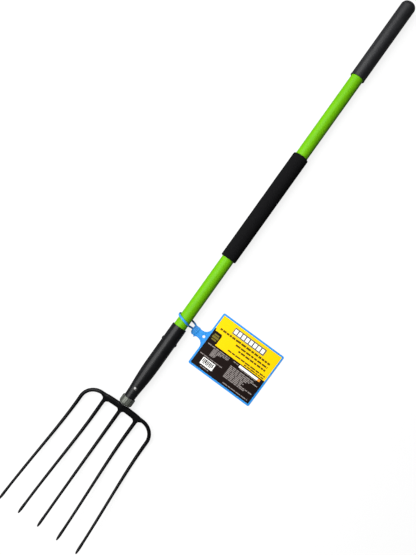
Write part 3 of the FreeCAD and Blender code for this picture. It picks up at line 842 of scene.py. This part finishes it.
def make_fork_head():
    """Bars, roots, hub and tang grown together into one forging. The growing works in millimetres,
    because a voxel of under a thousandth of a unit is very slow."""
    voxel = 0.8
    work = bmesh.new()
    add_solid(work, *bar_and_outer_tines())
    for side in (-1, 0, 1):
        add_solid(work, *inner_tine(side))
    add_solid(work, *hub_and_tang())
    mesh = mesh_from("fork_head", work)

    def grow_together(holder):
        remesh = holder.modifiers.new("forging", "REMESH")
        remesh.mode = "VOXEL"
        remesh.voxel_size = voxel
        remesh.use_smooth_shade = True
        smooth = holder.modifiers.new("relaxed", "SMOOTH")
        smooth.factor = 0.5
        smooth.iterations = 6

    mesh.transform(Matrix.Scale(1 / MM, 4))
    mesh = with_modifiers(mesh, grow_together)
    mesh.transform(Matrix.Scale(MM, 4))
    # Relaxing shrinks a tine by this much, which is put back along with the marks of the forging.
    relaxing, hidden = 0.12 * MM, COLLAR_LOW - 2 * MM
    # Each kind of mark has a depth and a number of marks to the metre.
    dents = ((0.12 * MM, 40), (0.015 * MM, 190))
    normals = [vertex.normal.copy() for vertex in mesh.vertices]
    for vertex, normal in zip(mesh.vertices, normals):
        place = vertex.co
        if place.x > hidden:
            continue
        dent = sum(depth * noise.noise(place * per_metre) for depth, per_metre in dents)
        vertex.co = place + normal * (dent + relaxing)
    add_piece("fork_head_forged", mesh, "black_lacquer", "fork_head", "fork")


# Hang tag ----------------------------------------------------------------------------------

label_low, label_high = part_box("tag_label")
tag_low, tag_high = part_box("tag_frame")
TAG_TURN = math.radians(0.9)
TAG_CENTRE = (label_low + label_high) / 2
BORDER = 4.7 * MM
spans = label_high - label_low
# A slightly turned rectangle reaches its box at the corners, which gives back its two sides.
SHARE = math.cos(TAG_TURN) ** 2 - math.sin(TAG_TURN) ** 2
LABEL_HEIGHT = (spans.x * math.cos(TAG_TURN) - spans.y * math.sin(TAG_TURN)) / SHARE
LABEL_WIDTH = (spans.y * math.cos(TAG_TURN) - spans.x * math.sin(TAG_TURN)) / SHARE
TAG_HEIGHT, TAG_WIDTH = LABEL_HEIGHT + 2 * BORDER, LABEL_WIDTH + 2 * BORDER
TAG_LENGTH = TAG_WIDTH + 39.5 * MM
# The neck's middle, up from the panel's lower edge.
NECK = 73 * MM
HINGE = Vector(next(joint for joint in frame["joints"] if joint["name"] == "tag_swing")["pos_m"])


def on_tag(x, y, z):
    """A point of the tag's plane, measured from the panel's far lower corner."""
    from_centre = Vector((x - TAG_HEIGHT / 2, y - TAG_WIDTH / 2))
    turned_by = Matrix.Rotation(-TAG_TURN, 2) @ from_centre
    return Vector((TAG_CENTRE.x + turned_by.x, TAG_CENTRE.y + turned_by.y, z))


def plate(name, outlines, low, high):
    """A flat solid between two heights from an outer outline and its holes, on the tag's plane."""
    work = bmesh.new()
    for outline in outlines:
        ring = [work.verts.new(on_tag(point.x, point.y, low)) for point in outline]
        for index, vertex in enumerate(ring):
            work.edges.new((vertex, ring[(index + 1) % len(ring)]))
    bmesh.ops.triangle_fill(work, edges=work.edges[:], use_beauty=True, use_dissolve=False)
    raised = bmesh.ops.extrude_face_region(work, geom=work.faces[:])["geom"]
    bmesh.ops.translate(work, vec=(0, 0, high - low),
                        verts=[item for item in raised if isinstance(item, bmesh.types.BMVert)])
    return mesh_from(name, work)


def lock_boss():
    """The low ribbed swelling on the neck that the strap's tail locks into, as a passing object."""
    half_across, half_along, height = 10.6 * MM, 6.6 * MM, 1.0 * MM
    rib_height, rib_pitch = 0.16 * MM, 2.6 * MM
    rings, segments, power = 14, 64, 0.8
    middle = TAG_LENGTH - 10.2 * MM
    foot, bottom = tag_high.z - 0.02 * MM, (tag_low.z + tag_high.z) / 2
    vertices = []
    for ring in range(rings + 1):
        out = 1 - ring / rings
        for step in range(segments):
            across, along = squared(2 * math.pi * step / segments, power)
            x, y = half_across * out * across, half_along * out * along
            rib = rib_height * math.cos(2 * math.pi * y / rib_pitch)
            swelling = height * (1 - out ** 5) + rib * (1 - out)
            vertices.append(on_tag(NECK + x, middle + y, foot + swelling))
    sunk = [Vector((vertex.x, vertex.y, bottom)) for vertex in vertices[:segments]]
    work = bmesh.new()
    add_solid(work, sunk + vertices, swept_faces(rings + 2, segments))
    bmesh.ops.remove_doubles(work, verts=work.verts, dist=0.01 * MM)
    return placed("boss", mesh_from("boss", work))


def make_tag_frame():
    """A rounded panel with a raised border round the printed sheet, a necked tab with its nub, a
    hanging hole, and the strap's lock."""
    corner, curve = 4 * MM, 17 * MM
    waist, waist_end, waist_edge = 10.4 * MM, TAG_LENGTH - 18.5 * MM, 2 * MM
    half, half_start, half_end = 12 * MM, TAG_LENGTH - 14.5 * MM, TAG_LENGTH - 4 * MM
    tip, tip_edge = 0.55 * half, 3 * MM
    nub, nub_half, nub_out, nub_foot = TAG_LENGTH - 13.5 * MM, 2.4 * MM, 3.5 * MM, 0.4 * MM
    outline = rounded_outline([
        (0, 0, corner),
        (TAG_HEIGHT, 0, corner),
        (TAG_HEIGHT, TAG_WIDTH, corner),
        (NECK + waist, TAG_WIDTH, curve),
        (NECK + waist, waist_end, waist_edge),
        (NECK + half, half_start, waist_edge),
        (NECK + half, half_end, tip_edge),
        (NECK + tip, TAG_LENGTH, tip_edge),
        (NECK - tip, TAG_LENGTH, tip_edge),
        (NECK - half, half_end, tip_edge),
        (NECK - half, nub + nub_half, nub_foot),
        (NECK - half - nub_out, nub, 0.5 * MM),
        (NECK - half, nub - nub_half, nub_foot),
        (NECK - waist, waist_end, waist_edge),
        (NECK - waist, TAG_WIDTH, curve),
        (0, TAG_WIDTH, corner),
    ], steps=10)
    hole_centre, hole_spoke, hole_steps = Vector((NECK, TAG_LENGTH - 33.8 * MM)), Vector((3.6 * MM, 0)), 40
    hole = [
        hole_centre + Matrix.Rotation(2 * math.pi * step / hole_steps, 2) @ hole_spoke
        for step in range(hole_steps)
    ]
    inset, window_edge = BORDER - 0.1 * MM, 0.6 * MM
    window = rounded_outline([
        (inset, inset, window_edge),
        (TAG_HEIGHT - inset, inset, window_edge),
        (TAG_HEIGHT - inset, TAG_WIDTH - inset, window_edge),
        (inset, TAG_WIDTH - inset, window_edge),
    ], steps=4)
    mesh = plate("tag_frame", [outline, hole], tag_low.z, tag_high.z)
    recess = plate("recess", [window], label_low.z, tag_high.z + 2 * MM)
    mesh = less(mesh, [placed("recess", recess)])
    lock = lock_boss()

    def soften(holder):
        bevel = holder.modifiers.new("soft_edges", "BEVEL")
        bevel.width = 0.22 * MM
        bevel.segments = 2
        bevel.limit_method = "ANGLE"
        bevel.angle_limit = math.radians(50)
        bevel.use_clamp_overlap = True
        boss = holder.modifiers.new("boss", "BOOLEAN")
        boss.operation = "UNION"
        boss.solver = "EXACT"
        boss.object = lock

    mesh = with_modifiers(mesh, soften)
    bpy.data.objects.remove(lock)
    sharpen(mesh, 22)
    add_piece("tag_frame_moulded", mesh, "blue_plastic", "tag_frame", "tag")


YELLOW, BROWN, WHITE = (0.94, 0.60, 0.0), (0.009, 0.0045, 0.0035), (0.9, 0.9, 0.88)
GREY, DARK_PRINT, PALE_PRINT = (0.13, 0.13, 0.12), (0.10, 0.07, 0.004), (0.26, 0.23, 0.22)
ORANGE, OLIVE = (0.80, 0.30, 0.03), (0.17, 0.14, 0.02)
WORD_GAP = 0.010


def words(row, ink, chance, ragged=0.0):
    """A row of plain blotches the length of words between two ends of a line of print."""
    start, stop, top, bottom = row
    stop -= ragged * chance.random()
    blocks = []
    place = start
    while place < stop:
        length = chance.uniform(0.03, 0.09)
        blocks.append((place, min(place + length, stop), top, bottom, ink))
        place += length + WORD_GAP
    return blocks


def printed_blocks():
    """Everything printed on the sheet, as blocks (start, stop, top, bottom, ink). The first two
    run away from the handle and the next two run towards the tines, all as shares of the sheet.
    No block is a letter."""
    chance = random.Random(4)
    divide = 0.515
    picture = (0.020, 0.136, 0.300, divide, BROWN)
    plate_behind_squares = (0.230, 0.775, 0.050, 0.174, GREY)
    blocks = [
        (0, 1, 0, divide, YELLOW),
        (0, 1, divide, 1, BROWN),
        (0, 0.020, 0.265, divide, BROWN),
        picture,
        (0.136, 0.146, 0.320, divide - 0.02, BROWN),
        (0.040, 0.118, 0.345, 0.375, OLIVE),
        (0.030, 0.128, 0.385, 0.425, OLIVE),
        (0.040, 0.118, 0.440, 0.465, OLIVE),
        plate_behind_squares,
    ]
    first_square, square_pitch, square = 0.244, 0.066, 0.048
    for index in range(8):
        start = first_square + index * square_pitch
        blocks.append((start, start + square, 0.072, 0.152, WHITE))

    # Lines of print on the yellow half.
    for row in ((0.065, 0.93, 0.207, 0.243), (0.373, 0.923, 0.281, 0.313), (0.456, 0.923, 0.346, 0.378),
                (0.325, 0.97, 0.438, 0.464), (0.633, 0.965, 0.480, 0.502)):
        blocks += words(row, DARK_PRINT, chance)

    # On the brown half, a column of short lines between two long ones.
    blocks += words((0.041, 0.414, 0.546, 0.562), PALE_PRINT, chance)
    first_top, pitch, line_height = 0.574, 0.021, 0.014
    for row, stop in enumerate((0.414, 0.414, 0.30, 0.248, 0.248, 0.248, 0.225)):
        top = first_top + row * pitch
        blocks += words((0.154, stop, top, top + line_height), PALE_PRINT, chance)
    blocks += words((0.03, 0.414, 0.756, 0.769), PALE_PRINT, chance)

    # A white box of bars of random widths, with a line of print in it and one under it.
    blocks.append((0.107, 0.314, 0.79, 0.92, WHITE))
    place, last_start, last_stop = 0.122, 0.298, 0.300
    while place < last_start:
        width = chance.uniform(0.012, 0.021)
        blocks.append((place, min(place + width, last_stop), 0.804, 0.872, BROWN))
        place += width + chance.uniform(0.006, 0.010)
    blocks += words((0.136, 0.278, 0.878, 0.892), GREY, chance)
    blocks += words((0.136, 0.278, 0.943, 0.957), PALE_PRINT, chance)

    # A white strip with an orange end, and a block of small print under it.
    blocks += words((0.485, 0.568, 0.545, 0.56), PALE_PRINT, chance)
    blocks.append((0.586, 0.905, 0.536, 0.58, WHITE))
    blocks.append((0.905, 0.947, 0.536, 0.58, ORANGE))
    blocks += words((0.62, 0.90, 0.588, 0.600), PALE_PRINT, chance)
    first_top, pitch, line_height = 0.632, 0.0275, 0.018
    for row in range(9):
        top = first_top + row * pitch
        blocks += words((0.485, 0.97, top, top + line_height), PALE_PRINT, chance, ragged=0.22)
    blocks += words((0.533, 0.959, 0.95, 0.965), PALE_PRINT, chance)
    return blocks


def make_tag_label():
    """A thin sheet cut along the edges of everything printed on it, one colour for each patch."""
    blocks = printed_blocks()
    away = sorted({round(end, 5) for block in blocks for end in block[:2]})
    down = sorted({round(end, 5) for block in blocks for end in block[2:4]})
    work = bmesh.new()
    ink = work.loops.layers.float_color.new("ink")

    def on_sheet(from_handle, from_top):
        x = BORDER + LABEL_HEIGHT * (1 - from_top)
        y = BORDER + LABEL_WIDTH * (1 - from_handle)
        return on_tag(x, y, label_high.z)

    def paint(face, colour):
        for loop in face.loops:
            loop[ink] = (*colour, 1)

    top = [[work.verts.new(on_sheet(u, v)) for v in down] for u in away]
    patches = {}
    for start, stop, high, low, colour in blocks:
        for row in range(away.index(round(start, 5)), away.index(round(stop, 5))):
            for column in range(down.index(round(high, 5)), down.index(round(low, 5))):
                patches[row, column] = colour
    for row in range(len(away) - 1):
        for column in range(len(down) - 1):
            face = work.faces.new((top[row][column], top[row][column + 1],
                                   top[row + 1][column + 1], top[row + 1][column]))
            paint(face, patches[row, column])
    rim = [edge for edge in work.edges if edge.is_boundary]
    wall = bmesh.ops.extrude_edge_only(work, edges=rim)["geom"]
    low_verts = [item for item in wall if isinstance(item, bmesh.types.BMVert)]
    bmesh.ops.translate(work, vec=(0, 0, label_low.z - label_high.z), verts=low_verts)
    low_edges = [item for item in wall if isinstance(item, bmesh.types.BMEdge)]
    bmesh.ops.contextual_create(work, geom=low_edges)
    for face in work.faces:
        if abs(face.normal.z) < 0.5 or all(vertex in low_verts for vertex in face.verts):
            paint(face, WHITE)
    mesh = mesh_from("tag_label", work)
    label = add_piece("tag_label_printed", mesh, "printed_sheet", "tag_label", "tag")
    for polygon in label.data.polygons:
        polygon.use_smooth = False


def strap_line():
    """The strap's middle line: from the neck up over the handle, round its far side and back
    underneath, with its place along the handle drifting as it goes."""
    loop_radius, offset = 18.6 * MM, 1.6 * MM
    root_depth, root_rise = 4.5 * MM, 0.35 * MM
    loop_steps, side_steps, root_steps = 72, 16, 5
    corner_rounds, drift_rounds = 3, 30
    centre = Vector((0, AXIS.y + offset, AXIS.z))
    hinge = Vector((0, HINGE.y, HINGE.z))
    away = hinge - centre
    facing = math.atan2(away.z, away.y)
    half_turn = math.acos(loop_radius / away.length)
    first, last = facing - half_turn, facing - 2 * math.pi + half_turn
    loop = []
    for step in range(loop_steps + 1):
        angle = first + (last - first) * step / loop_steps
        loop.append(centre + Vector((0, math.cos(angle), math.sin(angle))) * loop_radius)
    root = hinge - Vector((0, root_depth, -root_rise))
    front = [root.lerp(hinge, step / root_steps) for step in range(root_steps)]
    front += [hinge.lerp(loop[0], step / side_steps) for step in range(side_steps)]
    back = [loop[-1].lerp(hinge, step / side_steps) for step in range(1, side_steps + 1)]
    back += [hinge.lerp(root, step / root_steps) for step in range(1, root_steps + 1)]
    line = front + loop + back
    for _ in range(corner_rounds):
        inner = [(line[i - 1] + line[i] * 2 + line[i + 1]) / 4 for i in range(1, len(line) - 1)]
        line = line[:1] + inner + line[-1:]
    # Places along the handle from the hinge, in millimetres, at shares of the way round.
    drift = [(0, -3.5), (0.2, -1.8), (0.45, 5.5), (0.6, 9.5), (0.8, 13), (0.93, 11.5), (1, 5)]
    for index, point in enumerate(line):
        share = index / (len(line) - 1)
        for (here, before), (there, after) in zip(drift, drift[1:]):
            if here <= share <= there:
                point.x = HINGE.x + MM * (before + (after - before) * (share - here) / (there - here))
    for _ in range(drift_rounds):
        for index in range(1, len(line) - 1):
            line[index].x = (line[index - 1].x + line[index].x * 2 + line[index + 1].x) / 4
    return line


def make_tag_strap():
    """A flat band with rounded edges."""
    line = strap_line()
    half_width, half_thick = 2.4 * MM, 0.5 * MM
    segments, power = 16, 0.6
    vertices = []
    for index, point in enumerate(line):
        along = way(line, index)
        out = along.cross(ALONG).normalized()
        side = out.cross(along).normalized()
        for step in range(segments):
            across, rise = squared(2 * math.pi * step / segments, power)
            vertices.append(point + side * across * half_width + out * rise * half_thick)
    mesh = mesh_of("tag_strap", vertices, swept_faces(len(line), segments))
    sharpen(mesh, 50)
    strap = add_piece("tag_strap_band", mesh, "blue_plastic", "tag_strap")
    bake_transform(strap)


make_handle_tube()
make_foam_grip()
make_end_grip()
make_socket()
make_collar_ring()
make_tang_rivet()
make_socket_rivet()
make_fork_head()
make_tag_frame()
make_tag_label()
make_tag_strap()


# Floor, light and camera -------------------------------------------------------------------

# How bright the floor and the backdrop look, and how much the surround lights the object.
PALE = 0.86
SURROUND = 0.07


def make_floor():
    """A pale floor that glows a little, so that the shadows on it stay faint. The object sees it
    as a grey card, so that it doesn't fill in the dark side of the handle."""
    reach, drop = 12.0, 0.3 * MM
    corners = [Vector((x * reach, y * reach, -drop)) for x, y in ((-1, -1), (1, -1), (1, 1), (-1, 1))]
    floor = placed("floor", mesh_of("floor", corners, [(0, 1, 2, 3)]))
    shader = Shader("paper_floor", {
        "Roughness": 0.9,
        "Specular IOR Level": 0,
        "Emission Color": (1, 1, 1, 1),
    })
    shader.colours(shader.noise(3), (0.3, (0.145, 0.145, 0.145)), (0.7, (0.155, 0.155, 0.155)))
    glow = shader.spread(shader.add("ShaderNodeLightPath").outputs["Is Camera Ray"], 0, PALE, 0, 1)
    shader.link(glow, shader.inputs["Emission Strength"])
    floor.data.materials.append(shader.material)


def soft_box(name, aside, above, size, energy):
    """A soft box beside and above the handle that faces it, its long side along the handle."""
    data = bpy.data.lights.new(name, "AREA")
    data.shape = "RECTANGLE"
    data.size, data.size_y = size
    data.energy = energy
    light = placed(name, data)
    light.location = AXIS + AWAY_FROM_TAG * aside + UP * above
    light.rotation_euler = (-math.atan2(aside, above), 0, 0)


def make_light():
    """A key on the side away from the tag, a weak fill set higher that reaches past the handle to
    the strap, and a weak surround."""
    soft_box("key", aside=1.03, above=1.23, size=(2.8, 1.3), energy=60)
    soft_box("fill", aside=0.58, above=1.9, size=(2.4, 0.5), energy=17)
    world = bpy.data.worlds.new("surround")
    world.use_nodes = True
    nodes, links = world.node_tree.nodes, world.node_tree.links
    fill(nodes["Background"], {"Color": (1, 1, 1, 1)})
    seen = nodes.new("ShaderNodeMapRange")
    fill(seen, {"To Min": SURROUND, "To Max": PALE})
    links.new(nodes.new("ShaderNodeLightPath").outputs["Is Camera Ray"], seen.inputs["Value"])
    links.new(seen.outputs["Result"], nodes["Background"].inputs["Strength"])
    bpy.context.scene.world = world
    bpy.context.scene.view_settings.view_transform = "Standard"


def make_camera():
    """Straight above, a little towards the tines, with the handle running up to the right."""
    height, towards_tines, aside = 1.55, 0.0598, 0.0135
    field_of_view, turn = 46.7, -54.46
    data = bpy.data.cameras.new("camera")
    data.sensor_fit = "VERTICAL"
    data.angle_y = math.radians(field_of_view)
    camera = placed("camera", data)
    camera.location = AXIS - ALONG * towards_tines + AWAY_FROM_TAG * aside + UP * height
    camera.rotation_euler = (0, 0, math.radians(turn))
    bpy.context.scene.camera = camera


make_floor()
make_light()
make_camera()
